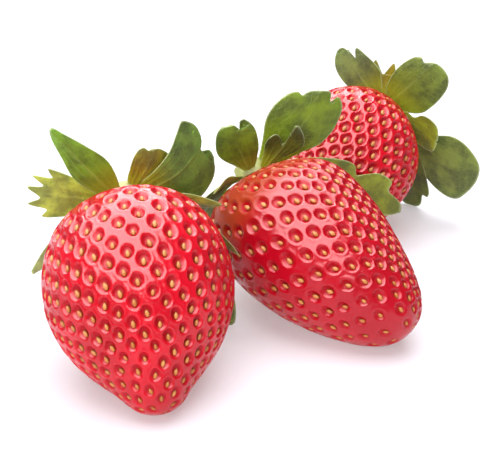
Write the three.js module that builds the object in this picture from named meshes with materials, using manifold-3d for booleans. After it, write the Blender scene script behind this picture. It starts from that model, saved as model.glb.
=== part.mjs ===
// Three ripe strawberries lying close together on a flat surface, each with its leafy calyx.
// Millimetres, +Z up, resting on Z = 0. The origin is under the middle of the group.
import * as THREE from "three";
import { mergeVertices } from "three/addons/utils/BufferGeometryUtils.js";
import Module from "manifold-3d";

const wasm = await Module();
wasm.setup();

const DEG = Math.PI / 180;

// What all three berries share.
const PRESSED_IN = 0.35; // how far a soft berry flattens where its weight rests
const LOBE_DEPTH = 0.018; // how far the fruit's section departs from a circle
const LEAF_THICKNESS = 0.5;
const LEAF_STANDOFF = 3.9; // from the berry's axis to the foot of each leaf
const TIER_HEIGHT = 0.75; // between one tier of leaf feet and the next, counted from the fruit
const CROWN = { gap: 0.3, radius: 3.4, top: 3.1, stemRadius: 1.1, stemTop: 4.6 };
const GROUND = { width: 200, depth: 50 }; // the block that presses the berries flat

// Mesh density.
const FRUIT_RINGS = 18;
const FRUIT_SEGMENTS = 32;
const LEAF_SEGMENTS = 24;
const LEAF_RINGS = [0.4, 0.8]; // share of the way from the blade's middle to its edge
const CROWN_SEGMENTS = 20;
const WELD = 1e-4; // points closer than this are one
const LEAST_CURL = 1e-4; // radians, so that a straight leaf still has a radius

// Where each girth below is measured, as a share of the length from tip to crown.
const GIRTH_AT = [0.03, 0.12, 0.28, 0.46, 0.64, 0.8, 0.92, 0.985];

// Outlines of leaf blades, foot first and round by way of the tip. Across is in half-widths of the
// blade and along in its length.
const BLADES = {
  plain: [
    [0, 0], [0.3, 0.04], [0.72, 0.22], [1, 0.5], [0.8, 0.78], [0.06, 1], [-0.72, 0.8], [-1, 0.52],
    [-0.74, 0.24], [-0.3, 0.04],
  ],
  long: [
    [0, 0], [0.3, 0.03], [0.85, 0.22], [1, 0.42], [0.72, 0.66], [0.36, 0.86], [0.06, 1], [-0.3, 0.9],
    [-0.62, 0.66], [-0.95, 0.4], [-0.8, 0.2], [-0.3, 0.03],
  ],
  fan: [
    [0, 0], [0.3, 0.04], [0.74, 0.4], [0.98, 0.79], [0.66, 0.71], [0.56, 0.97], [0.26, 0.81], [0.05, 1],
    [-0.24, 0.82], [-0.6, 0.94], [-0.66, 0.71], [-1, 0.73], [-0.78, 0.4], [-0.3, 0.04],
  ],
  broad: [
    [0, 0], [0.25, 0.03], [0.5, 0.2], [1, 0.4], [1, 0.7], [0.72, 0.86], [0.4, 0.9], [0.12, 0.82],
    [-0.1, 0.94], [-0.42, 1], [-0.84, 0.92], [-0.84, 0.78], [-0.64, 0.5], [-0.48, 0.25], [-0.2, 0.02],
  ],
  notched: [
    [0, 0], [0.28, 0.03], [0.78, 0.3], [1, 0.62], [0.86, 0.9], [0.5, 1], [0.12, 0.86], [-0.16, 0.96],
    [-0.6, 0.97], [-0.96, 0.72], [-0.86, 0.38], [-0.28, 0.03],
  ],
  twoLobed: [
    [0, 0], [0.3, 0.06], [0.7, 0.3], [0.95, 0.58], [1, 0.8], [0.76, 0.97], [0.54, 0.97], [0.4, 0.86],
    [0.2, 0.98], [-0.35, 1], [-0.75, 0.86], [-0.97, 0.6], [-0.68, 0.32], [-0.25, 0.05],
  ],
  cleft: [
    [0, 0], [0.35, 0.04], [0.95, 0.27], [1, 0.46], [0.78, 0.7], [0.46, 0.88], [0.24, 0.74], [0.08, 0.9],
    [-0.22, 1], [-0.6, 0.98], [-0.95, 0.78], [-0.95, 0.5], [-0.72, 0.17], [-0.3, 0.03],
  ],
  threeLobed: [
    [0, 0], [0.25, 0.12], [0.5, 0.34], [0.75, 0.5], [0.85, 0.67], [0.82, 0.84], [0.72, 0.94],
    [0.52, 0.99], [0.37, 0.92], [0.26, 1], [0, 0.98], [-0.3, 0.92], [-0.46, 0.84], [-0.6, 0.85],
    [-0.78, 0.8], [-0.92, 0.69], [-1, 0.56], [-0.98, 0.41], [-0.84, 0.28], [-0.58, 0.17], [-0.2, 0.03],
  ],
  twoPointed: [
    [0, 0], [0.2, 0.05], [0.5, 0.36], [0.98, 0.68], [0.75, 0.86], [0.12, 1], [-0.08, 0.96],
    [0.02, 0.74], [-0.16, 0.56], [-0.55, 0.68], [-0.9, 0.66], [-1, 0.46], [-0.6, 0.2], [-0.2, 0.03],
  ],
  toothed: [
    [0, 0], [0.25, 0.02], [0.72, 0.18], [1, 0.36], [0.7, 0.48], [0.96, 0.63], [0.58, 0.74], [0.62, 0.9],
    [0.1, 1], [-0.3, 0.97], [-0.5, 0.86], [-0.92, 0.83], [-0.98, 0.72], [-0.56, 0.62], [-0.98, 0.55],
    [-1, 0.42], [-0.7, 0.2], [-0.25, 0.02],
  ],
  spoon: [
    [0, 0], [0.35, 0.03], [0.5, 0.16], [0.72, 0.3], [0.68, 0.45], [0.7, 0.68], [0.52, 0.9], [0.25, 1],
    [-0.24, 0.92], [-0.6, 0.76], [-0.95, 0.6], [-1, 0.42], [-0.8, 0.15], [-0.35, 0.02],
  ],
  round: [
    [0, 0], [0.4, 0.02], [0.9, 0.2], [1, 0.38], [1, 0.6], [0.9, 0.82], [0.66, 0.96], [0.3, 1],
    [0, 0.97], [-0.24, 0.86], [-0.42, 0.88], [-0.6, 0.79], [-0.7, 0.56], [-0.66, 0.32], [-0.48, 0.13],
    [-0.2, 0.02],
  ],
};

// heading: compass course from tip to crown, 0 along +Y and 90 along +X. rise: its slope.
// lean: how far the crown stands off the tip's axis. slant: slope of the crown end.
// A leaf's turn is 0 on the upper side of its berry and 90 on the right, seen from the tip.
// lift is the slope of its foot out of the calyx plane, curl what the slope gains by the tip,
// roll how far the blade is turned about its midrib.
const BERRIES = [
  {
    name: "front_berry",
    crown: [-24.8, 19.9],
    heading: -13,
    rise: 37.3,
    length: 44.8,
    radius: 18.3,
    girths: [0.225, 0.4, 0.75, 0.96, 1.01, 0.912, 0.72, 0.352],
    lean: [0, 0.9],
    slant: [0, 0],
    lobes: { count: 3, turn: 40 },
    leaves: [
      { turn: -39, tier: 1, lift: 18, roll: 8, length: 20, width: 7.8, blade: "long" },
      { turn: -84, tier: 2, lift: 0, curl: 22, roll: 27, length: 15.5, width: 11, blade: "fan" },
      { turn: -126, tier: 1, lift: -17, curl: -6, roll: 2, length: 20.5, width: 9.5, blade: "long" },
      { turn: -156, tier: 2, lift: -10, curl: -20, length: 15, width: 8, blade: "plain" },
      { turn: 170, tier: 1, lift: -12, curl: -20, length: 15, width: 9, blade: "fan" },
      { turn: 135, tier: 2, lift: -13, curl: -50, length: 33.5, width: 10.5, blade: "plain" },
      { turn: 106, tier: 1, lift: -10, curl: -41, length: 22, width: 6, blade: "long" },
      { turn: 91, tier: 2, lift: -12, length: 15.5, width: 4.5, blade: "plain" },
      { turn: 74, tier: 3, lift: 4, curl: 62, roll: -25, length: 18, width: 16, blade: "broad" },
      { turn: 38, tier: 4, lift: 26, curl: 15, length: 8, width: 11, blade: "round" },
    ],
  },
  {
    name: "middle_berry",
    crown: [0.6, 44.5],
    heading: -52,
    rise: 22,
    length: 48.9,
    radius: 16.4,
    girths: [0.282, 0.52, 0.747, 0.917, 0.975, 0.926, 0.724, 0.342],
    lean: [6.7, -1.2],
    slant: [-0.277, 0.428],
    lobes: { count: 3, turn: 100 },
    leaves: [
      { turn: 8, tier: 1, lift: 9, curl: 10, roll: -32, length: 12, width: 7.5, blade: "twoPointed" },
      { turn: -48, tier: 2, lift: 8, curl: 30, length: 13.8, width: 9.4, blade: "twoLobed" },
      { turn: -98, tier: 1, lift: -5, curl: -30, length: 8, width: 5, blade: "plain" },
      { turn: -130, tier: 2, lift: -8, curl: -40, length: 14, width: 6.5, blade: "plain" },
      { turn: -167, tier: 1, lift: 0, curl: -20, length: 16, width: 7, blade: "fan" },
      { turn: 155, tier: 2, lift: 0, curl: -20, length: 15, width: 7, blade: "plain" },
      { turn: 122, tier: 1, lift: -4, curl: -16, length: 15, width: 6, blade: "plain" },
      { turn: 85, tier: 2, lift: -5, curl: -38, roll: -18, length: 35.5, width: 12, blade: "toothed" },
      { turn: 26, tier: 3, lift: 6, curl: 35, roll: -42, length: 20, width: 15.5, blade: "threeLobed" },
    ],
  },
  {
    name: "back_berry",
    crown: [31.7, 88.5],
    heading: 33.9,
    rise: 26.4,
    length: 43,
    radius: 16,
    girths: [0.26, 0.48, 0.76, 0.923, 1.014, 0.925, 0.648, 0.406],
    lean: [1.7, -2.7],
    slant: [-0.05, -0.05],
    lobes: { count: 3, turn: 10 },
    leaves: [
      { turn: -3, tier: 2, lift: 20, roll: 8, length: 7.5, width: 6.5, blade: "fan" },
      { turn: -36, tier: 1, lift: 5, curl: 15, roll: 14, length: 14, width: 11, blade: "cleft" },
      { turn: -92, tier: 2, lift: -5, curl: -20, length: 14, width: 6.5, blade: "plain" },
      { turn: -124, tier: 1, lift: -10, curl: -20, length: 17, width: 8, blade: "plain" },
      { turn: -162, tier: 2, lift: -5, curl: -20, length: 15, width: 7, blade: "fan" },
      { turn: 163, tier: 1, lift: -12, curl: 5, length: 24.5, width: 12, blade: "plain" },
      { turn: 126, tier: 3, lift: -13, curl: 20, roll: -12, length: 26, width: 15, blade: "spoon" },
      { turn: 106, tier: 2, lift: -17, roll: -10, length: 12.5, width: 8, blade: "plain" },
      { turn: 46, tier: 2, lift: 8, curl: 30, length: 15, width: 14.5, blade: "round" },
    ],
  },
];

// A fruit with its crown at the origin and its tip down the -Z axis.
function fruitGeometry({ length, radius, girths, lean, slant, lobes }) {
  const outline = new THREE.SplineCurve([
    new THREE.Vector2(0, -length),
    ...girths.map((girth, i) => new THREE.Vector2(girth * radius, (GIRTH_AT[i] - 1) * length)),
    new THREE.Vector2(0, 0),
  ]);
  const profile = outline.getPoints(FRUIT_RINGS);
  profile[0].x = 0;
  profile[FRUIT_RINGS].x = 0;
  const geometry = new THREE.LatheGeometry(profile, FRUIT_SEGMENTS).rotateX(Math.PI / 2);
  const point = new THREE.Vector3();
  const position = geometry.getAttribute("position");
  for (let i = 0; i < position.count; i++) {
    point.fromBufferAttribute(position, i);
    const height = 1 + point.z / length;
    const turn = Math.atan2(point.y, point.x);
    const swell = 1 + LOBE_DEPTH * Math.cos(lobes.count * (turn - lobes.turn * DEG));
    const offAxis = height ** 3 - 1;
    const x = point.x * swell + lean[0] * offAxis;
    const y = point.y * swell + lean[1] * offAxis;
    position.setXYZ(i, x, y, point.z + (slant[0] * x + slant[1] * y) * height ** 2);
  }
  return geometry;
}

// A leaf in the calyx's frame, whose origin is the crown of the fruit and +Z the way out of it.
function leafGeometry({ turn, tier, lift, curl = 0, roll = 0, length, width, blade }) {
  const edge = new THREE.CatmullRomCurve3(
    BLADES[blade].map(([across, along]) => new THREE.Vector3((across * width) / 2, along * length, 0)),
    true,
    "catmullrom",
  );
  const half = LEAF_THICKNESS / 2;
  const disc = new THREE.LatheGeometry(
    [
      new THREE.Vector2(0, -half),
      ...LEAF_RINGS.map((share) => new THREE.Vector2(share, -half)),
      new THREE.Vector2(1, 0),
      ...LEAF_RINGS.toReversed().map((share) => new THREE.Vector2(share, half)),
      new THREE.Vector2(0, half),
    ],
    LEAF_SEGMENTS,
  );
  const outwards = new THREE.Vector3(Math.sin(turn * DEG), -Math.cos(turn * DEG), 0);
  const sideways = new THREE.Vector3(Math.cos(turn * DEG), Math.sin(turn * DEG), 0);
  const upwards = new THREE.Vector3(0, 0, 1);
  const bend = (curl * DEG || LEAST_CURL) / length;
  const centre = new THREE.Vector3(0, length / 2, 0);
  const position = disc.getAttribute("position");
  for (let i = 0; i < position.count; i++) {
    const share = Math.hypot(position.getX(i), position.getZ(i));
    const round = (Math.atan2(position.getZ(i), position.getX(i)) / (2 * Math.PI) + 1) % 1;
    const flat = edge.getPoint(round).lerp(centre, 1 - share);
    const slope = lift * DEG + bend * flat.y;
    const midrib = outwards.clone().multiplyScalar(Math.cos(slope)).addScaledVector(upwards, Math.sin(slope));
    const across = sideways.clone().applyAxisAngle(midrib, roll * DEG);
    const normal = midrib.clone().cross(across);
    const point = new THREE.Vector3(0, 0, tier * TIER_HEIGHT)
      .addScaledVector(outwards, LEAF_STANDOFF + (Math.sin(slope) - Math.sin(lift * DEG)) / bend)
      .addScaledVector(upwards, (Math.cos(lift * DEG) - Math.cos(slope)) / bend)
      .addScaledVector(across, flat.x)
      .addScaledVector(normal, position.getY(i));
    position.setXYZ(i, point.x, point.y, point.z);
  }
  return disc;
}

function asSolid(geometry) {
  const bare = geometry.clone();
  bare.deleteAttribute("normal");
  bare.deleteAttribute("uv");
  const merged = mergeVertices(bare, WELD);
  return new wasm.Manifold(
    new wasm.Mesh({
      numProp: 3,
      vertProperties: merged.getAttribute("position").array,
      triVerts: new Uint32Array(merged.index.array),
    }),
  );
}

function asGeometry(solid) {
  const { vertProperties, triVerts } = solid.getMesh();
  return new THREE.BufferGeometry()
    .setAttribute("position", new THREE.BufferAttribute(vertProperties, 3))
    .setIndex(new THREE.BufferAttribute(triVerts, 1));
}

const FLESH = { color: 0xc8102a, roughness: 0.3, metalness: 0 };
const GREEN = { color: 0x5b7a35, roughness: 0.6, metalness: 0 };
const PALE_GREEN = { color: 0x9aa860, roughness: 0.7, metalness: 0 };

function addMesh(parent, name, geometry, finish) {
  const mesh = new THREE.Mesh(geometry, new THREE.MeshStandardMaterial(finish));
  mesh.name = name;
  parent.add(mesh);
}

const strawberries = new THREE.Group();
for (const berry of BERRIES) {
  const whole = new THREE.Group();
  whole.rotation.set((berry.rise - 90) * DEG, 0, -berry.heading * DEG, "ZXY");
  whole.position.set(...berry.crown, 0);
  const fruit = fruitGeometry(berry);

  // The fruit is let down until its lowest side is pressed flat by the ground.
  whole.updateMatrix();
  const lowest = new THREE.Box3().setFromBufferAttribute(
    fruit.clone().applyMatrix4(whole.matrix).getAttribute("position"),
  ).min.z;
  whole.position.z = -lowest - PRESSED_IN;
  whole.updateMatrix();
  const ground = new THREE.BoxGeometry(GROUND.width, GROUND.width, GROUND.depth)
    .translate(...berry.crown, -GROUND.depth / 2)
    .applyMatrix4(whole.matrix.clone().invert());
  const rested = asGeometry(asSolid(fruit).subtract(asSolid(ground)));
  addMesh(whole, `${berry.name}_fruit`, rested, FLESH);

  const calyx = new THREE.Group();
  calyx.rotation.set(Math.atan(berry.slant[1]), -Math.atan(berry.slant[0]), 0);
  const crownProfile = [
    [0, CROWN.gap],
    [CROWN.radius, CROWN.gap],
    [CROWN.radius, CROWN.top],
    [CROWN.stemRadius, CROWN.top],
    [CROWN.stemRadius, CROWN.stemTop],
    [0, CROWN.stemTop],
  ];
  const crown = new THREE.LatheGeometry(
    crownProfile.map(([radius, height]) => new THREE.Vector2(radius, height)),
    CROWN_SEGMENTS,
  ).rotateX(Math.PI / 2);
  addMesh(calyx, `${berry.name}_crown`, crown, PALE_GREEN);
  berry.leaves.forEach((leaf, i) => {
    addMesh(calyx, `${berry.name}_leaf_${i + 1}`, leafGeometry(leaf), GREEN);
  });
  whole.add(calyx);
  strawberries.add(whole);
}

// The group is centred over the origin.
const extent = new THREE.Box3().setFromObject(strawberries, true);
const middle = extent.getCenter(new THREE.Vector3());
for (const whole of strawberries.children) {
  whole.position.x -= middle.x;
  whole.position.y -= middle.y;
}

export default strawberries;
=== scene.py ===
import math
import random

import bpy
import numpy as np
from mathutils import Matrix, Vector
from mathutils.bvhtree import BVHTree
from mathutils.kdtree import KDTree


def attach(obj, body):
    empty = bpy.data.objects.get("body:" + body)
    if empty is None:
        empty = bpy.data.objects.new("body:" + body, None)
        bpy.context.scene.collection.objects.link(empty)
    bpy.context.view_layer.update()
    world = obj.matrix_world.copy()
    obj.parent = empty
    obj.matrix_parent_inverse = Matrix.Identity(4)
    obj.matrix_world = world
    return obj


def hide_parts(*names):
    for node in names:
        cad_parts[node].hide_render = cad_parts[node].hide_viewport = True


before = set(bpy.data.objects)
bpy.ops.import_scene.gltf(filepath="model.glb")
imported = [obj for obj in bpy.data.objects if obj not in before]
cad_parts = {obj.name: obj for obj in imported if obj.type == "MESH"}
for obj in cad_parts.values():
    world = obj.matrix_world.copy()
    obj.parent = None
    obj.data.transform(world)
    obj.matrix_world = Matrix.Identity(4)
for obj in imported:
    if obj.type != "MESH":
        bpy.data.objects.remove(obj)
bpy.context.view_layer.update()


# --- The fruit ------------------------------------------------------------------------------
# Each fruit is one swollen receptacle of soft flesh under a thin glossy skin, and lies on its
# side with its broad end raised. The skin is puffed up between the seeds, and each seed sits
# in a small dimple of its own.
MM = 0.001

# heading and rise are the degrees by which the axis turns and climbs from tip to crown, and
# slant is how far the calyx leans off square to it, as two slopes. length and radius are in
# millimetres. Towards the crown, from the share of the length given for each berry, the red fades
# to a darker orange. This is partly the fruit's own less ripe shoulder and partly painted shade
# and leaf reflection under the calyx. deep is how far it goes over to a darker red.
BERRIES = {
    "front_berry": {
        "heading": -13, "rise": 37.3, "slant": (0, 0), "length": 44.8, "radius": 18.3,
        "seed_count": 420, "shoulder_from": 0.9, "deep": 0,
    },
    "middle_berry": {
        "heading": -52, "rise": 22, "slant": (-0.277, 0.428), "length": 48.9, "radius": 16.4,
        "seed_count": 480, "shoulder_from": 0.7, "deep": 0.6,
    },
    "back_berry": {
        "heading": 33.9, "rise": 26.4, "slant": (-0.05, -0.05), "length": 43, "radius": 16,
        "seed_count": 350, "shoulder_from": 0.82, "deep": 0,
    },
}
SAME_PLACE = 0.01 * MM  # points closer than this are one
CROWN_GAP = 0.3 * MM
SKIN_OFFSET = 0.1 * MM
GROUND_GAP = 0.02 * MM
GOLDEN_TURN = math.pi * (3 - math.sqrt(5))
SEED_WANDER = 0.1 * MM
SEED_TWIST = 0.16  # radians off the length of the fruit
SEED_SPREAD = 0.06  # in size, as a share
TIP_SEED_SIZE = 0.8  # the full size is reached halfway up
PIT_WIDTH, PIT_LENGTH = 1.12 * MM, 1.36 * MM  # half across and half along the fruit
PIT_DEPTH = 0.72 * MM
PIT_SHIFT = 0.38 * MM  # from the seed towards the crown
PIT_STEEPNESS = 5
RIM_AT, RIM_BREADTH = 1.35, 0.28  # in half-widths of the dimple
RIM_HEIGHT = 0.09 * MM
# Heights as shares of the length, and how much of their depth the dimples have there.
TIP_HEIGHTS, TIP_DEPTHS = (0, 0.3), (0.5, 1)
CROWN_HEIGHTS, CROWN_DEPTHS = (0.94, 0.996), (1, 0.3)
RING_WIDTH, RING_LENGTH = 0.58 * MM, 0.9 * MM  # the dark ring, half across and half along
RING_EDGE, RING_FADE = 0.75, 0.12  # where the ring starts to fade, and how softly
SHOULDER_SPAN = 0.14  # the share of the length over which the red fades to orange

for name, berry in BERRIES.items():
    lying = Matrix.Rotation(math.radians(-berry["heading"]), 4, "Z") @ Matrix.Rotation(
        math.radians(berry["rise"] - 90), 4, "X"
    )
    facing = (
        lying
        @ Matrix.Rotation(math.atan(berry["slant"][1]), 4, "X")
        @ Matrix.Rotation(-math.atan(berry["slant"][0]), 4, "Y")
    )
    way_out = facing.to_3x3() @ Vector((0, 0, 1))
    disc = [v.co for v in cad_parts[name + "_crown"].data.vertices]
    lowest = min(co.dot(way_out) for co in disc)
    foot = [co for co in disc if co.dot(way_out) < lowest + SAME_PLACE]
    centre = sum(foot, Vector()) / len(foot) - CROWN_GAP * way_out
    berry["place"] = Matrix.Translation(centre) @ lying
    berry["calyx"] = Matrix.Translation(centre) @ facing
    berry["crown"] = centre


def deselect_all():
    if bpy.context.object and bpy.context.object.mode != "OBJECT":
        bpy.ops.object.mode_set(mode="OBJECT")
    bpy.ops.object.select_all(action="DESELECT")


def select_only(piece):
    deselect_all()
    piece.select_set(True)
    bpy.context.view_layer.objects.active = piece


def apply_modifier(piece, kind, **settings):
    select_only(piece)
    modifier = piece.modifiers.new(kind.title(), kind)
    for key, value in settings.items():
        setattr(modifier, key, value)
    bpy.ops.object.modifier_apply(modifier=modifier.name)


def points_of(piece):
    flat = np.zeros(len(piece.data.vertices) * 3)
    piece.data.vertices.foreach_get("co", flat)
    return flat.reshape(-1, 3)


def move_points(piece, points):
    piece.data.vertices.foreach_set("co", points.ravel())
    piece.data.update()


def normals_of(piece):
    flat = np.zeros(len(piece.data.vertices) * 3, np.float32)
    piece.data.vertex_normals.foreach_get("vector", flat)
    return flat.reshape(-1, 3).astype(float)


def store(piece, name, values):
    attribute = piece.data.attributes.new(name, "FLOAT", "POINT")
    attribute.data.foreach_set("value", np.asarray(values, np.float32))


def store_colour(piece, name, colours):
    attribute = piece.data.attributes.new(name, "FLOAT_COLOR", "POINT")
    full = np.ones((len(piece.data.vertices), 4), np.float32)
    full[:, :3] = colours
    attribute.data.foreach_set("color", full.ravel())


def new_material(name):
    material = bpy.data.materials.new(name)
    material.use_nodes = True
    return material, material.node_tree.nodes, material.node_tree.links


def attribute_node(nodes, name):
    node = nodes.new("ShaderNodeAttribute")
    node.attribute_name = name
    return node


def mixed(nodes, links, share, low, high, blend="MIX"):
    """A colour mix node. share, low and high are each a socket or a value."""
    node = nodes.new("ShaderNodeMix")
    node.data_type = "RGBA"
    node.blend_type = blend
    for socket, value in ((node.inputs[0], share), (node.inputs[6], low), (node.inputs[7], high)):
        if isinstance(value, bpy.types.NodeSocket):
            links.new(value, socket)
        elif isinstance(value, tuple):
            socket.default_value = (*value, 1)
        else:
            socket.default_value = value
    return node.outputs[2]


def mapped(nodes, links, value, low, high, to_low=0.0, to_high=1.0):
    """A clamped map range of a value socket."""
    node = nodes.new("ShaderNodeMapRange")
    node.interpolation_type = "SMOOTHSTEP"
    links.new(value, node.inputs[0])
    for index, number in ((1, low), (2, high), (3, to_low), (4, to_high)):
        node.inputs[index].default_value = number
    return node.outputs[0]


def noise(nodes, links, scale, detail=3.0):
    node = nodes.new("ShaderNodeTexNoise")
    node.inputs["Scale"].default_value = scale
    node.inputs["Detail"].default_value = detail
    links.new(nodes.new("ShaderNodeTexCoord").outputs["Object"], node.inputs["Vector"])
    return node.outputs["Fac"]


def smoothed_copy(node):
    """A merged copy of a faceted CAD node with its facets rounded off."""
    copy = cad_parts[node].copy()
    copy.data = copy.data.copy()
    copy.name = node + "_guide"
    copy.parent = None
    bpy.context.scene.collection.objects.link(copy)
    select_only(copy)
    bpy.ops.object.mode_set(mode="EDIT")
    bpy.ops.mesh.select_all(action="SELECT")
    bpy.ops.mesh.remove_doubles(threshold=SAME_PLACE)
    bpy.ops.mesh.tris_convert_to_quads()
    bpy.ops.object.mode_set(mode="OBJECT")
    apply_modifier(copy, "SUBSURF", levels=2, render_levels=2)
    return copy


skin, nodes, links = new_material("glossy_red_skin")
shader = nodes["Principled BSDF"]
pit = attribute_node(nodes, "pit").outputs["Fac"]
shoulder = attribute_node(nodes, "shoulder").outputs["Fac"]
ring = attribute_node(nodes, "ring").outputs["Fac"]
deep = attribute_node(nodes, "deep").outputs["Fac"]
CRIMSON, SCARLET, DEEP_RED = (0.54, 0.002, 0.012), (0.7, 0.003, 0.018), (0.4, 0.0015, 0.012)
SHOULDER_ORANGE_AND_SHADE, PIT_SHADE_RED, RING_BROWN = (0.42, 0.05, 0.015), (0.46, 0.0008, 0.01), (0.3, 0.03, 0.004)
cloudy = mapped(nodes, links, noise(nodes, links, 90), 0.35, 0.65)
# Towards the crown the red goes over to a darker orange: partly the fruit's own less ripe shoulder and
# partly painted shade and leaf reflection under the calyx.
shouldering = mapped(nodes, links, shoulder, 0.0, 1.0)
# The dimples are painted a darker red towards their middles: painted shade in the hollows round the seeds.
pit_shading = mapped(nodes, links, pit, 0.1, 0.9)
ringing = mapped(nodes, links, ring, 0.4, 1.0, 0.0, 0.6)
ripe = mixed(nodes, links, cloudy, CRIMSON, SCARLET)
deepened = mixed(nodes, links, deep, ripe, DEEP_RED)
shouldered = mixed(nodes, links, shouldering, deepened, SHOULDER_ORANGE_AND_SHADE)
pit_shaded = mixed(nodes, links, pit_shading, shouldered, PIT_SHADE_RED)
ringed = mixed(nodes, links, ringing, pit_shaded, RING_BROWN)
links.new(ringed, shader.inputs["Base Color"])
links.new(mapped(nodes, links, pit, 0.1, 0.8, 0.22, 0.45), shader.inputs["Roughness"])
sheen = nodes.new("ShaderNodeMath")
sheen.operation = "MULTIPLY"
links.new(mapped(nodes, links, pit, 0.1, 0.8, 0.42, 0.24), sheen.inputs[0])
links.new(mapped(nodes, links, shoulder, 0.0, 0.8, 1.0, 0.15), sheen.inputs[1])
links.new(sheen.outputs[0], shader.inputs["Specular IOR Level"])
shader.inputs["Subsurface Weight"].default_value = 0.2
shader.inputs["Subsurface Radius"].default_value = (1.0, 0.2, 0.15)
shader.inputs["Subsurface Scale"].default_value = 0.9 * MM
bump = nodes.new("ShaderNodeBump")
bump.inputs["Strength"].default_value = 0.35
bump.inputs["Distance"].default_value = 0.15 * MM
links.new(noise(nodes, links, 900, 4.0), bump.inputs["Height"])
links.new(bump.outputs["Normal"], shader.inputs["Normal"])

for name, berry in BERRIES.items():
    guide = smoothed_copy(name + "_fruit")
    half_length = berry["length"] * MM / 2
    radius = berry["radius"] * MM
    middle = berry["place"] @ Matrix.Translation((0, 0, -half_length))

    # A rounded cube is stretched over the fruit, drawn onto it and evened out.
    deselect_all()
    bpy.ops.mesh.primitive_cube_add(size=2)
    fruit = bpy.context.object
    fruit.name = name + "_flesh"
    fruit.data.name = fruit.name
    apply_modifier(fruit, "SUBSURF", levels=7, render_levels=7)
    sphere = points_of(fruit)
    sphere /= np.linalg.norm(sphere, axis=1)[:, None]
    move_points(fruit, sphere)
    select_only(fruit)
    bpy.ops.transform.resize(value=(radius, radius, half_length))
    bpy.ops.object.transform_apply(location=False, rotation=False, scale=True)
    fruit.data.transform(middle)
    apply_modifier(
        fruit, "SHRINKWRAP", target=guide, wrap_method="NEAREST_SURFACEPOINT", offset=SKIN_OFFSET
    )
    apply_modifier(fruit, "SMOOTH", factor=0.5, iterations=12)

    # The seeds' places wind round the fruit by the golden turn, closer together at the tip.
    surface = BVHTree.FromObject(fruit, bpy.context.evaluated_depsgraph_get())
    rng = random.Random(name)
    seeds = []
    count = berry["seed_count"]
    for k in range(count):
        along = 1 - 2 * (k + 0.5) / count
        round_about = k * GOLDEN_TURN
        across = math.sqrt(1 - along * along)
        out = radius * across
        start = middle @ Vector(
            (out * math.cos(round_about), out * math.sin(round_about), half_length * along)
        )
        wander = Vector([rng.gauss(0, SEED_WANDER) for _ in range(3)])
        place, normal, _, _ = surface.find_nearest(start + wander)
        tipward = -(berry["place"].to_3x3() @ Vector((0, 0, 1)))
        tipward = (tipward - tipward.dot(normal) * normal).normalized()
        tipward.rotate(Matrix.Rotation(rng.gauss(0, SEED_TWIST), 3, normal))
        full = 1 + (1 - TIP_SEED_SIZE) * min(along, 0)
        seeds.append((place, normal, tipward, full * rng.gauss(1, SEED_SPREAD)))
    berry["seeds"] = seeds

    # Each point of the skin belongs to its nearest seed, whose dimple presses it in or whose
    # rim lifts it. The dimples are shallower at the tip and next to the crown.
    tree = KDTree(len(seeds))
    for k, (place, *_) in enumerate(seeds):
        tree.insert(place, k)
    tree.balance()
    points = points_of(fruit)
    normals = normals_of(fruit)
    nearest = [tree.find(point)[1] for point in points]
    frames = np.array([[s[0], s[2], s[1].cross(s[2]), (s[3], 0, 0)] for s in seeds])[nearest]
    apart = points - frames[:, 0]
    along = np.einsum("ij,ij->i", apart, frames[:, 1])
    across = np.einsum("ij,ij->i", apart, frames[:, 2])
    size = frames[:, 3, 0]
    from_pit = np.hypot(across / PIT_WIDTH, (along + PIT_SHIFT) / PIT_LENGTH) / size
    inner = np.exp(-(from_pit**PIT_STEEPNESS))
    rim = np.exp(-(((from_pit - RIM_AT) / RIM_BREADTH) ** 2))
    local = (points - np.array(berry["place"].translation)) @ np.array(berry["place"].to_3x3())
    height = 1 + local[:, 2] / (berry["length"] * MM)
    depth = np.interp(height, TIP_HEIGHTS, TIP_DEPTHS)
    depth *= np.interp(height, CROWN_HEIGHTS, CROWN_DEPTHS)
    points = points + normals * ((rim * RIM_HEIGHT - inner * PIT_DEPTH) * depth)[:, None]
    points[:, 2] = np.maximum(points[:, 2], GROUND_GAP)
    move_points(fruit, points)
    from_seed = np.hypot(across / RING_WIDTH, along / RING_LENGTH) / size
    store(fruit, "pit", inner)
    store(fruit, "ring", np.exp(-np.maximum(from_seed - RING_EDGE, 0) ** 2 / RING_FADE))
    store(fruit, "deep", np.full(len(points), berry["deep"]))
    store(fruit, "shoulder", np.clip((height - berry["shoulder_from"]) / SHOULDER_SPAN, 0, 1))
    select_only(fruit)
    bpy.ops.object.shade_smooth()
    fruit.data.materials.clear()
    fruit.data.materials.append(skin)
    bpy.data.objects.remove(guide)
    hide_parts(name + "_fruit")
    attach(fruit, "root")


# --- The seeds ------------------------------------------------------------------------------
# The seeds are dry little achenes, drop-shaped with the point towards the crown. Each is held
# by a thread of tissue at the bottom of its dimple, with its golden back showing.
SEED_WIDTH, SEED_LENGTH, SEED_THICKNESS = 0.92 * MM, 1.55 * MM, 0.75 * MM
SEED_SUNK = 0.38 * MM
SEED_TAPER = 0.42  # the share of its width that the pointed end loses
DARK_GOLD, PALE_GOLD, HUSK_EDGE = (0.52, 0.17, 0.04), (0.7, 0.3, 0.085), (0.3, 0.13, 0.02)

husk, nodes, links = new_material("golden_seed_husk")
shader = nodes["Principled BSDF"]
edge = attribute_node(nodes, "edge").outputs["Fac"]
tint = attribute_node(nodes, "tint").outputs["Fac"]
gold = mixed(nodes, links, tint, DARK_GOLD, PALE_GOLD)
rimmed = mixed(nodes, links, mapped(nodes, links, edge, 0.78, 1.0), gold, HUSK_EDGE)
links.new(rimmed, shader.inputs["Base Color"])
shader.inputs["Roughness"].default_value = 0.45
shader.inputs["Specular IOR Level"].default_value = 0.25

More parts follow.
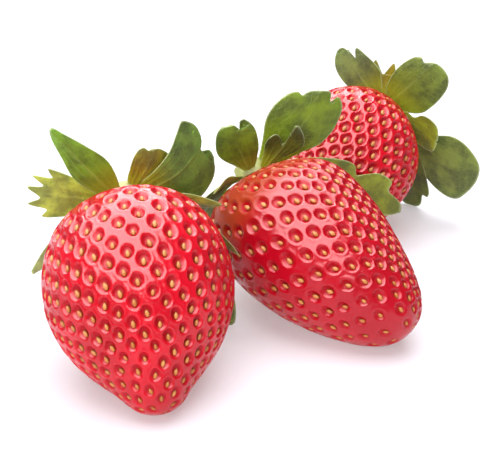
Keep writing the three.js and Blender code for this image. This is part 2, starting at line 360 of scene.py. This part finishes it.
deselect_all()
bpy.ops.mesh.primitive_uv_sphere_add(segments=8, ring_count=6, radius=1)
pip = bpy.context.object
drop = points_of(pip)
taper = 1 - SEED_TAPER * np.clip(-drop[:, 1], 0, 1) ** 1.5
drop_edge = np.hypot(drop[:, 0], drop[:, 1])
drop[:, 0] *= taper * SEED_WIDTH / 2
drop[:, 1] *= SEED_LENGTH / 2
drop[:, 2] *= SEED_THICKNESS / 2
faces = [list(polygon.vertices) for polygon in pip.data.polygons]
bpy.data.objects.remove(pip)
for name, berry in BERRIES.items():
    rng = random.Random(name + " seeds")
    corners, all_faces, edges, tints = [], [], [], []
    for place, normal, tipward, size in berry["seeds"]:
        side = tipward.cross(normal)
        turned = drop @ np.array([side, tipward, normal]) * size
        first = len(corners) * len(drop)
        corners.append(turned + np.array(place - SEED_SUNK * normal))
        all_faces += [[first + v for v in face] for face in faces]
        edges.append(drop_edge)
        tints.append(np.full(len(drop), rng.random()))
    points = np.concatenate(corners)
    points[:, 2] = np.maximum(points[:, 2], GROUND_GAP)
    mesh = bpy.data.meshes.new(name + "_seeds")
    mesh.from_pydata(points.tolist(), [], all_faces)
    achenes = bpy.data.objects.new(name + "_seeds", mesh)
    bpy.context.scene.collection.objects.link(achenes)
    store(achenes, "edge", np.concatenate(edges))
    store(achenes, "tint", np.concatenate(tints))
    select_only(achenes)
    bpy.ops.object.shade_smooth()
    mesh.materials.append(husk)
    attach(achenes, "root")


# --- The crowns -----------------------------------------------------------------------------
# The crown is the hub of the calyx, where the sepals and the stalk grow together. It is pale
# and fibrous, and the stalk is snapped off short in its middle.
HUB_RADIUS, HUB_TOP = 3.51 * MM, 3.2 * MM
HUB_RIM, HUB_DISH = 1.2 * MM, 0.25 * MM  # the flat rim's breadth, and the dip inside it
STALK_RADIUS, STALK_TOP = 1.15 * MM, 4.6 * MM
STALK_TAPER = 0.02 * MM
STALK_LIP, STALK_DISH = 0.25 * MM, 0.1 * MM  # round the snapped end
EDGE_ROUND = 0.12 * MM
FIBRE_GREEN, FIBRE_STRAW = (0.3, 0.36, 0.08), (0.62, 0.6, 0.24)

stalk, nodes, links = new_material("pale_green_stalk")
shader = nodes["Principled BSDF"]
fibres = noise(nodes, links, 700, 5.0)
links.new(mixed(nodes, links, fibres, FIBRE_GREEN, FIBRE_STRAW), shader.inputs["Base Color"])
shader.inputs["Roughness"].default_value = 0.6
shader.inputs["Subsurface Weight"].default_value = 0.2
shader.inputs["Subsurface Scale"].default_value = 0.8 * MM
bump = nodes.new("ShaderNodeBump")
bump.inputs["Strength"].default_value = 0.6
bump.inputs["Distance"].default_value = 0.2 * MM
links.new(fibres, bump.inputs["Height"])
links.new(bump.outputs["Normal"], shader.inputs["Normal"])
for name, berry in BERRIES.items():
    deselect_all()
    bpy.ops.mesh.primitive_cylinder_add(
        vertices=40, radius=HUB_RADIUS, depth=HUB_TOP, location=(0, 0, HUB_TOP / 2)
    )
    hub = bpy.context.object
    hub.name = name + "_hub"
    hub.data.name = hub.name
    bpy.ops.object.transform_apply(location=True, rotation=False, scale=False)
    bpy.ops.object.mode_set(mode="EDIT")
    bpy.ops.mesh.select_all(action="DESELECT")
    bpy.ops.object.mode_set(mode="OBJECT")
    for polygon in hub.data.polygons:
        polygon.select = polygon.normal.z > 0.9
    bpy.ops.object.mode_set(mode="EDIT")
    bpy.ops.mesh.select_mode(type="FACE")
    bpy.ops.mesh.inset(thickness=HUB_RIM, depth=0)
    bpy.ops.mesh.inset(thickness=HUB_RADIUS - HUB_RIM - STALK_RADIUS, depth=-HUB_DISH)
    bpy.ops.mesh.inset(thickness=STALK_TAPER, depth=STALK_TOP - HUB_TOP)
    bpy.ops.mesh.inset(thickness=STALK_LIP, depth=-STALK_DISH)
    bpy.ops.mesh.select_all(action="SELECT")
    bpy.ops.mesh.bevel(offset=EDGE_ROUND, segments=2, affect="EDGES")
    bpy.ops.object.mode_set(mode="OBJECT")
    apply_modifier(hub, "SUBSURF", levels=1, render_levels=1)
    hub.data.transform(berry["calyx"] @ Matrix.Translation((0, 0, CROWN_GAP)))
    select_only(hub)
    bpy.ops.object.shade_smooth()
    hub.data.materials.clear()
    hub.data.materials.append(stalk)
    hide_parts(name + "_crown")
    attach(hub, "root")


# --- The sepals -----------------------------------------------------------------------------
# The green leaves of the calyx are thin blades that grow out of the crown. Fine pale veins
# run out from the foot and stand out on the side that faces the fruit. The edges are thin and
# pale, and the feet are yellow-green.

# The outline of each blade goes from its foot up one edge to the tip and back down the other,
# as shares of half its width and of its length.
BLADES = {
    "plain": [
        (0, 0), (0.3, 0.04), (0.72, 0.22), (1, 0.5), (0.8, 0.78), (0.06, 1), (-0.72, 0.8),
        (-1, 0.52), (-0.74, 0.24), (-0.3, 0.04),
    ],
    "long": [
        (0, 0), (0.3, 0.03), (0.85, 0.22), (1, 0.42), (0.72, 0.66), (0.36, 0.86), (0.06, 1),
        (-0.3, 0.9), (-0.62, 0.66), (-0.95, 0.4), (-0.8, 0.2), (-0.3, 0.03),
    ],
    "fan": [
        (0, 0), (0.3, 0.04), (0.74, 0.4), (0.98, 0.79), (0.66, 0.71), (0.56, 0.97), (0.26, 0.81),
        (0.05, 1), (-0.24, 0.82), (-0.6, 0.94), (-0.66, 0.71), (-1, 0.73), (-0.78, 0.4),
        (-0.3, 0.04),
    ],
    "broad": [
        (0, 0), (0.25, 0.03), (0.5, 0.2), (1, 0.4), (1, 0.7), (0.72, 0.86), (0.4, 0.9),
        (0.12, 0.82), (-0.1, 0.94), (-0.42, 1), (-0.84, 0.92), (-0.84, 0.78), (-0.64, 0.5),
        (-0.48, 0.25), (-0.2, 0.02),
    ],
    "two_lobed": [
        (0, 0), (0.3, 0.06), (0.7, 0.3), (0.95, 0.58), (1, 0.8), (0.76, 0.97), (0.54, 0.97),
        (0.4, 0.86), (0.2, 0.98), (-0.35, 1), (-0.75, 0.86), (-0.97, 0.6), (-0.68, 0.32),
        (-0.25, 0.05),
    ],
    "cleft": [
        (0, 0), (0.35, 0.04), (0.95, 0.27), (1, 0.46), (0.78, 0.7), (0.46, 0.88), (0.24, 0.74),
        (0.08, 0.9), (-0.22, 1), (-0.6, 0.98), (-0.95, 0.78), (-0.95, 0.5), (-0.72, 0.17),
        (-0.3, 0.03),
    ],
    "three_lobed": [
        (0, 0), (0.25, 0.12), (0.5, 0.34), (0.75, 0.5), (0.85, 0.67), (0.82, 0.84), (0.72, 0.94),
        (0.52, 0.99), (0.37, 0.92), (0.26, 1), (0, 0.98), (-0.3, 0.92), (-0.46, 0.84), (-0.6, 0.85),
        (-0.78, 0.8), (-0.92, 0.69), (-1, 0.56), (-0.98, 0.41), (-0.84, 0.28), (-0.58, 0.17),
        (-0.2, 0.03),
    ],
    "two_pointed": [
        (0, 0), (0.2, 0.05), (0.5, 0.36), (0.98, 0.68), (0.75, 0.86), (0.12, 1), (-0.08, 0.96),
        (0.02, 0.74), (-0.16, 0.56), (-0.55, 0.68), (-0.9, 0.66), (-1, 0.46), (-0.6, 0.2),
        (-0.2, 0.03),
    ],
    "toothed": [
        (0, 0), (0.25, 0.02), (0.72, 0.18), (1, 0.36), (0.7, 0.48), (0.96, 0.63), (0.58, 0.74),
        (0.62, 0.9), (0.1, 1), (-0.3, 0.97), (-0.5, 0.86), (-0.92, 0.83), (-0.98, 0.72),
        (-0.56, 0.62), (-0.98, 0.55), (-1, 0.42), (-0.7, 0.2), (-0.25, 0.02),
    ],
    "blocky": [
        (0, 0), (0.35, 0.03), (0.62, 0.16), (0.9, 0.32), (0.86, 0.5), (0.95, 0.76), (0.8, 0.95),
        (0.35, 1), (-0.3, 0.99), (-0.8, 0.9), (-1, 0.7), (-0.88, 0.52), (-0.42, 0.36),
        (-0.36, 0.16), (-0.2, 0.02),
    ],
    "horned": [
        (0, 0), (0.3, 0.05), (0.7, 0.35), (1, 0.72), (0.92, 0.98), (0.6, 0.84), (0.2, 0.62),
        (-0.1, 0.7), (-0.35, 0.98), (-0.55, 1), (-0.85, 0.7), (-0.7, 0.3), (-0.3, 0.04),
    ],
    "round": [
        (0, 0), (0.4, 0.02), (0.9, 0.2), (1, 0.38), (1, 0.6), (0.9, 0.82), (0.66, 0.96), (0.3, 1),
        (0, 0.97), (-0.24, 0.86), (-0.42, 0.88), (-0.6, 0.79), (-0.7, 0.56), (-0.66, 0.32),
        (-0.48, 0.13), (-0.2, 0.02),
    ],
}
# The colour of each blade before its mottle and veins. Besides the blade's own green, it holds
# painted light and shade, set blade by blade: "shaded" and "dark" are painted shade on blades
# that lie in shadow.
GREENS = {
    "olive": (0.13, 0.2, 0.008),
    "pale olive": (0.125, 0.165, 0.016),
    "grey": (0.14, 0.18, 0.035),
    "pale grey": (0.26, 0.29, 0.11),
    "dark": (0.1, 0.165, 0.016),
    "shaded": (0.08, 0.1, 0.008),
    "mid": (0.13, 0.25, 0.014),
    "light": (0.36, 0.4, 0.06),
    "fresh": (0.22, 0.25, 0.01),
    "bright": (0.13, 0.19, 0.002),
    "brown": (0.25, 0.21, 0.01),
    "dull brown": (0.13, 0.1, 0.008),
}
# Degrees and millimetres. turn goes round the calyx from the berry's upper side, tier counts
# up from the fruit, lift is the slope of the foot, curl what the slope gains by the tip, and
# roll turns the blade about its midrib.
SEPALS = {
    "front_berry": [
        dict(turn=-39, tier=1, lift=18, roll=8, length=20, width=7.8, blade="long", green="mid"),
        dict(turn=-84, tier=2, lift=0, curl=22, roll=27, length=15.5, width=11, blade="fan", green="light"),
        dict(
            turn=-126, tier=1, lift=-17, curl=-6, roll=2, length=20.5, width=9.5,
            blade="long", green="pale grey",
        ),
        dict(turn=-156, tier=2, lift=-10, curl=-20, length=15, width=8, blade="plain", green="mid"),
        dict(turn=170, tier=1, lift=-12, curl=-20, length=15, width=9, blade="fan", green="mid"),
        dict(turn=135, tier=2, lift=-13, curl=-50, length=33.5, width=10.5, blade="plain", green="dark"),
        dict(turn=106, tier=1, lift=-10, curl=-41, length=22, width=6, blade="long", green="dull brown"),
        dict(turn=91, tier=2, lift=-12, length=15.5, width=4.5, blade="plain", green="light"),
        dict(turn=74, tier=3, lift=4, curl=62, roll=-25, length=18, width=16, blade="broad", green="dark"),
        dict(turn=38, tier=4, lift=26, curl=15, length=8, width=11, blade="round", green="brown"),
    ],
    "middle_berry": [
        dict(
            turn=8, tier=1, lift=9, curl=10, roll=-32, length=12, width=7.5,
            blade="two_pointed", green="shaded",
        ),
        dict(turn=-48, tier=2, lift=8, curl=30, length=13.8, width=9.4, blade="two_lobed", green="olive"),
        dict(turn=-98, tier=1, lift=-5, curl=-30, length=8, width=5, blade="plain", green="light"),
        dict(turn=-130, tier=2, lift=-8, curl=-40, length=14, width=6.5, blade="plain", green="mid"),
        dict(turn=-167, tier=1, lift=0, curl=-20, length=16, width=7, blade="fan", green="mid"),
        dict(turn=155, tier=2, lift=0, curl=-20, length=15, width=7, blade="plain", green="mid"),
        dict(turn=122, tier=1, lift=-4, curl=-16, length=15, width=6, blade="plain", green="mid"),
        dict(
            turn=85, tier=2, lift=-5, curl=-38, roll=-18, length=35.5, width=12,
            blade="toothed", green="fresh",
        ),
        dict(
            turn=26, tier=3, lift=6, curl=35, roll=-42, length=20, width=15.5,
            blade="three_lobed", green="bright",
        ),
    ],
    "back_berry": [
        dict(turn=-3, tier=2, lift=20, roll=8, length=8, width=7, blade="horned", green="brown"),
        dict(turn=-36, tier=1, lift=5, curl=15, roll=14, length=14, width=11, blade="cleft", green="grey"),
        dict(turn=-92, tier=2, lift=-5, curl=-20, length=14, width=6.5, blade="plain", green="mid"),
        dict(turn=-124, tier=1, lift=-10, curl=-20, length=17, width=8, blade="plain", green="mid"),
        dict(turn=-162, tier=2, lift=-5, curl=-20, length=15, width=7, blade="fan", green="mid"),
        dict(turn=163, tier=1, lift=-12, curl=5, length=24.5, width=15, blade="round", green="shaded"),
        dict(
            turn=128, tier=3, lift=-17, curl=20, roll=-12, length=25, width=16.5,
            blade="blocky", green="grey",
        ),
        dict(turn=106, tier=2, lift=-17, roll=-10, length=12.5, width=9, blade="blocky", green="fresh"),
        dict(turn=46, tier=2, lift=8, curl=30, length=15, width=14.5, blade="round", green="pale olive"),
    ],
}
STANDOFF, TIER_HEIGHT = 3.9 * MM, 0.75 * MM
FOOT_RUN = 1.6 * MM  # how far a foot runs in under the crown
FOOT_SHARE = 0.25  # of the length, which gives way to that run
BLADE_THICKNESS = 0.34 * MM
VEINS = (-0.78, -0.42, 0.0, 0.42, 0.78)  # across the blade, in half-widths
MIDRIB_BREADTH, VEIN_BREADTH = 0.3 * MM, 0.2 * MM
MIDRIB_STRENGTH, VEIN_STRENGTH = 1, 0.7
VEIN_HEIGHT = 0.16 * MM
VEIN_FADE = 1.15  # the veins die out at this share of the length, just past the tip
RIPPLE, RIPPLE_WAVES = 0.25 * MM, 7  # at the edge, and radians of wave in a blade's length
FOLD = 0.35 * MM  # how far the tip's edges stand up from its midrib
EDGE_THINNING = 0.65
NARROWEST = 0.3 * MM  # the least half-width that the veins are spaced over
STRAIGHT = 1e-4  # radians of curl, in place of none
LEAF_GROUND_GAP = 0.05 * MM
DULL_PATCH, PALE_PATCH = (0.25, 0.25, 0.25), (0.8, 0.8, 0.62)
NET_GREEN, RIB_GREEN = (0.4, 0.48, 0.08), (0.45, 0.5, 0.1)
FOOT_GREEN, EDGE_CREAM = (0.42, 0.47, 0.014), (0.6, 0.6, 0.35)

green_leaf, nodes, links = new_material("green_sepal")
shader = nodes["Principled BSDF"]
own = attribute_node(nodes, "green").outputs["Color"]
edge = attribute_node(nodes, "edge").outputs["Fac"]
vein = attribute_node(nodes, "vein").outputs["Fac"]
along = attribute_node(nodes, "along").outputs["Fac"]
mottle = mapped(nodes, links, noise(nodes, links, 260, 4.0), 0.35, 0.65)
clouds = mixed(nodes, links, mottle, DULL_PATCH, PALE_PATCH)
patchy = mixed(nodes, links, 0.7, own, clouds, "OVERLAY")
uv = nodes.new("ShaderNodeUVMap")
uv.uv_map = "blade"
net = nodes.new("ShaderNodeTexVoronoi")
net.feature = "DISTANCE_TO_EDGE"
net.inputs["Scale"].default_value = 900
links.new(uv.outputs["UV"], net.inputs["Vector"])
from_thread = net.outputs["Distance"]
netting = mapped(nodes, links, from_thread, 0.0, 0.1, 0.09, 0.0)
ribbing = mapped(nodes, links, vein, 0.25, 1.0, 0.0, 0.4)
footing = mapped(nodes, links, along, 0.45, 0.0, 0.0, 0.85)
edging = mapped(nodes, links, edge, 0.95, 1.0, 0.0, 0.45)
netted = mixed(nodes, links, netting, patchy, NET_GREEN)
ribbed = mixed(nodes, links, ribbing, netted, RIB_GREEN)
footed = mixed(nodes, links, footing, ribbed, FOOT_GREEN)
edged = mixed(nodes, links, edging, footed, EDGE_CREAM)
links.new(edged, shader.inputs["Base Color"])
shader.inputs["Roughness"].default_value = 0.5
shader.inputs["Specular IOR Level"].default_value = 0.4
shader.inputs["Subsurface Weight"].default_value = 0.3
shader.inputs["Subsurface Radius"].default_value = (0.6, 1.0, 0.2)
shader.inputs["Subsurface Scale"].default_value = 0.6 * MM
shader.inputs["Sheen Weight"].default_value = 0.08
bump = nodes.new("ShaderNodeBump")
bump.inputs["Strength"].default_value = 0.35
bump.inputs["Distance"].default_value = 0.12 * MM
links.new(mapped(nodes, links, from_thread, 0.0, 0.16, 1.0, 0.0), bump.inputs["Height"])
links.new(bump.outputs["Normal"], shader.inputs["Normal"])


def outline_at(corners, turns):
    """Points of the closed smooth curve through the corners, at shares of the way round."""
    count = len(corners)
    at = (turns % 1) * count
    first = np.floor(at).astype(int)
    t = (at - first)[:, None]
    a, b, c, d = (corners[(first + step) % count] for step in (-1, 0, 1, 2))
    square = (2 * a - 5 * b + 4 * c - d) * t**2
    cube = (3 * b - a - 3 * c + d) * t**3
    return 0.5 * (2 * b + (c - a) * t + square + cube)


for name, berry in BERRIES.items():
    for number, leaf in enumerate(SEPALS[name], 1):
        rng = random.Random(f"{name} sepal {number}")
        length, width = leaf["length"] * MM, leaf["width"] * MM
        deselect_all()
        bpy.ops.mesh.primitive_grid_add(x_subdivisions=56, y_subdivisions=56, size=2)
        sepal = bpy.context.object
        sepal.name = f"{name}_sepal_{number}"
        sepal.data.name = sepal.name

        # The square grid is drawn out into a disc, and the disc to the blade's outline.
        grid = points_of(sepal)[:, :2]
        wide = np.abs(grid[:, 0]) >= np.abs(grid[:, 1])
        reach = np.where(wide, grid[:, 0], grid[:, 1])
        other = np.where(wide, grid[:, 1], grid[:, 0]) / np.where(reach == 0, 1, reach)
        angle = np.where(wide, other * math.pi / 4, math.pi / 2 - other * math.pi / 4)
        angle = angle + np.where(reach < 0, math.pi, 0)
        share = np.abs(reach)
        corners = np.array(BLADES[leaf["blade"]]) * (width / 2, length)
        rim = outline_at(corners, angle / (2 * math.pi))
        flat = (rim - (0, length / 2)) * share[:, None] + (0, length / 2)
        w, u = flat[:, 0], flat[:, 1]

        # Half the blade's width at each height gives the veins their course.
        dense = outline_at(corners, np.linspace(0, 1, 400, endpoint=False))
        order = np.argsort(dense[:, 1])
        right = dense[order][dense[order, 0] >= 0]
        left = dense[order][dense[order, 0] < 0]
        half = np.where(
            w >= 0, np.interp(u, right[:, 1], right[:, 0]), np.interp(u, left[:, 1], -left[:, 0])
        )
        half = np.maximum(half, NARROWEST)
        position = np.clip(w / half, -1.2, 1.2)
        vein = np.zeros(len(w))
        for course in VEINS:
            breadth = MIDRIB_BREADTH if course == 0 else VEIN_BREADTH
            strength = MIDRIB_STRENGTH if course == 0 else VEIN_STRENGTH
            apart = (position - course) * half
            vein = np.maximum(vein, strength * np.exp(-((apart / breadth) ** 2)))
        vein *= np.clip(VEIN_FADE - u / length, 0, 1)

        # The foot is drawn in under the crown.
        u = u - FOOT_RUN * np.clip(1 - u / (FOOT_SHARE * length), 0, 1)
        lift = math.radians(leaf["lift"])
        turn = math.radians(leaf["turn"])
        bend = (math.radians(leaf.get("curl", 0)) or STRAIGHT) / length
        roll = math.radians(leaf.get("roll", 0))
        outwards = np.array((math.sin(turn), -math.cos(turn), 0))
        sideways = np.array((math.cos(turn), math.sin(turn), 0))
        upwards = np.array((0, 0, 1))
        slope = (lift + bend * u)[:, None]
        midrib = outwards * np.cos(slope) + upwards * np.sin(slope)
        straight_up = upwards * np.cos(slope) - outwards * np.sin(slope)
        across = sideways * math.cos(roll) + straight_up * math.sin(roll)
        normal = np.cross(midrib, across)
        waves = np.sin(RIPPLE_WAVES * u / length + rng.uniform(0, 6))
        ripple = RIPPLE * waves * (position**2) * share
        fold = FOLD * np.abs(position) * np.clip(u / length, 0, 1)
        relief = ripple + fold - VEIN_HEIGHT * vein
        points = (
            np.array((0, 0, leaf["tier"] * TIER_HEIGHT))
            + outwards * (STANDOFF + (np.sin(slope) - math.sin(lift)) / bend)
            + upwards * ((math.cos(lift) - np.cos(slope)) / bend)
            + across * w[:, None]
            + normal * relief[:, None]
        )
        move_points(sepal, points)
        store(sepal, "edge", share)
        store(sepal, "vein", vein)
        store(sepal, "along", np.clip(u / length, 0, 1))
        store_colour(sepal, "green", GREENS[leaf["green"]])
        layer = sepal.data.uv_layers.new(name="blade")
        corner_vertices = np.zeros(len(sepal.data.loops), int)
        sepal.data.loops.foreach_get("vertex_index", corner_vertices)
        layer.data.foreach_set("uv", np.column_stack((w, u))[corner_vertices].ravel())
        thick = sepal.vertex_groups.new(name="thick")
        for index, weight in enumerate(1 - EDGE_THINNING * share**4):
            thick.add([index], float(weight), "REPLACE")
        apply_modifier(sepal, "SOLIDIFY", thickness=BLADE_THICKNESS, offset=0, vertex_group="thick")
        sepal.data.transform(berry["calyx"])
        select_only(sepal)
        bpy.ops.object.shade_smooth()
        sepal.data.materials.clear()
        sepal.data.materials.append(green_leaf)
        points = points_of(sepal)
        points[:, 2] = np.maximum(points[:, 2], LEAF_GROUND_GAP)
        move_points(sepal, points)
        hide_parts(f"{name}_leaf_{number}")
        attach(sepal, "root")


# --- The studio -----------------------------------------------------------------------------
# The berries lie on a plain white floor in a white room. One very large soft light overhead
# gives the shading, a broad bright sheet just under it and to the left gives the gloss on the
# skins, and a weak light in front lifts the shadows.
white, nodes, links = new_material("white_floor")
shader = nodes["Principled BSDF"]
shader.inputs["Base Color"].default_value = (0.67, 0.665, 0.715, 1)
shader.inputs["Roughness"].default_value = 0.9
shader.inputs["Specular IOR Level"].default_value = 0.0
shader.inputs["Emission Color"].default_value = (1, 1, 1, 1)
shader.inputs["Emission Strength"].default_value = 0.31
deselect_all()
bpy.ops.mesh.primitive_plane_add(size=4)
floor = bpy.context.object
floor.name = "floor"
floor.data.materials.append(white)


def soft_light(name, place, aim, size, watts):
    data = bpy.data.lights.new(name, "AREA")
    data.shape = "RECTANGLE"
    data.size, data.size_y = size
    data.energy = watts
    light = bpy.data.objects.new(name, data)
    bpy.context.scene.collection.objects.link(light)
    light.location = place
    light.rotation_euler = (Vector(aim) - Vector(place)).to_track_quat("-Z", "Y").to_euler()
    return light


softbox = soft_light("overhead_softbox", (-0.08, 0.16, 0.62), (-0.08, 0.16, 0), (0.8, 1.15), 9.2)
softbox.visible_glossy = False
gloss = soft_light("overhead_gloss", (-0.31, 0.08, 0.6), (-0.31, 0.08, 0), (1.1, 2.3), 72)
gloss.visible_diffuse = False
gloss.visible_transmission = False
fill = soft_light("front_fill", (-0.25, -0.75, 0.36), (0, 0, 0.02), (0.7, 0.45), 3.9)
fill.visible_glossy = False
world = bpy.data.worlds.new("white_room")
bpy.context.scene.world = world
world.use_nodes = True
world.node_tree.nodes["Background"].inputs["Color"].default_value = (0.88, 0.93, 1, 1)
world.node_tree.nodes["Background"].inputs["Strength"].default_value = 0.18
bpy.context.scene.view_settings.view_transform = "Standard"

lens = bpy.data.cameras.new("camera")
lens.lens = 100
lens.sensor_width = 36
camera = bpy.data.objects.new("camera", lens)
bpy.context.scene.collection.objects.link(camera)
camera.location = BERRIES["front_berry"]["crown"] + Vector((24.8, -255.9, 102.6)) * MM
camera.rotation_euler = (math.radians(67), 0, 0)
bpy.context.scene.camera = camera
